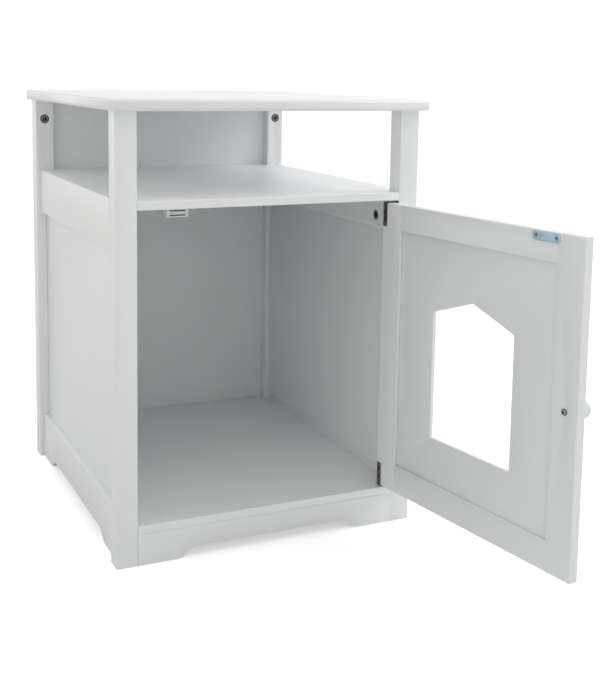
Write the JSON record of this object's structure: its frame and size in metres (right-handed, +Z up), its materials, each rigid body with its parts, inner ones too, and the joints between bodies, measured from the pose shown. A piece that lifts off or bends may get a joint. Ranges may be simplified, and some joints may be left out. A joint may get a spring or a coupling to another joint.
{
  "type": "cat litter box cabinet",
  "caption": "White square-post side table with an open shelf bay above a closed litter box room, whose pivot-hung front door has a house-shaped cat opening and a round knob.",
  "frame": {"origin": "on the floor, at the centre of the front left post's foot", "axes": "+Z up, -Y towards the front with the door, +X to the right as seen from the front"},
  "size_m": [0.5062, 0.8905, 0.638],
  "materials": {
    "white_board": "satin white paint on fibreboard",
    "white_post": "satin white paint on solid wood",
    "white_top": "satin white paint on fibreboard, smooth",
    "white_panel": "satin white paint on thin fibreboard",
    "white_door_frame": "satin white paint on solid wood",
    "white_knob": "semi-gloss white paint on turned wood",
    "bare_beech": "bare fluted beech",
    "dark_zinc": "dark plated die-cast zinc",
    "bright_steel": "zinc-plated steel",
    "dark_bronze": "dark bronze finish on steel",
    "white_plastic": "moulded white plastic",
    "dark_steel": "dull ground steel",
    "black_ferrite": "unpolished ferrite",
    "blue_zinc": "blue zinc-plated steel"
  },
  "bodies": {
    "cabinet": {"top_panel": "white_top", "front_left_post": "white_post", "front_right_post": "white_post", "rear_left_post": "white_post", "rear_right_post": "white_post", "left_top_rail": "white_board", "right_top_rail": "white_board", "left_bottom_rail": "white_board", "right_bottom_rail": "white_board", "left_side_panel": "white_panel", "right_side_panel": "white_panel", "shelf_board": "white_board", "floor_board": "white_board", "front_apron": "white_board", "back_panel": "white_panel", "back_bottom_rail": "white_board", "frame_dowels": "bare_beech", "cam_locks": "dark_zinc", "cam_bolts": "bright_steel", "lower_hinge_arm": "dark_bronze", "upper_hinge_arm": "dark_bronze", "lower_hinge_pin": "bright_steel", "upper_hinge_pin": "bright_steel", "hinge_arm_screws": "dark_bronze", "catch_housing": "white_plastic", "catch_pole_plates": "dark_steel", "catch_magnet": "black_ferrite", "catch_screws": "bright_steel"},
    "door": {"door_hinge_stile": "white_door_frame", "door_free_stile": "white_door_frame", "door_top_rail": "white_door_frame", "door_bottom_rail": "white_door_frame", "door_panel": "white_panel", "door_dowels": "bare_beech", "lower_door_leaf": "dark_bronze", "upper_door_leaf": "dark_bronze", "door_leaf_screws": "dark_bronze", "strike_plate": "blue_zinc", "strike_screws": "blue_zinc", "knob": "white_knob", "knob_screw": "dark_bronze"}
  },
  "joints": [
    {"name": "door_hinge", "type": "hinge", "parent": "cabinet", "child": "door", "pos_m": [0.401, -0.008, 0.27], "axis": [0, 0, 1], "range_deg": [-98, 12]}
  ]
}
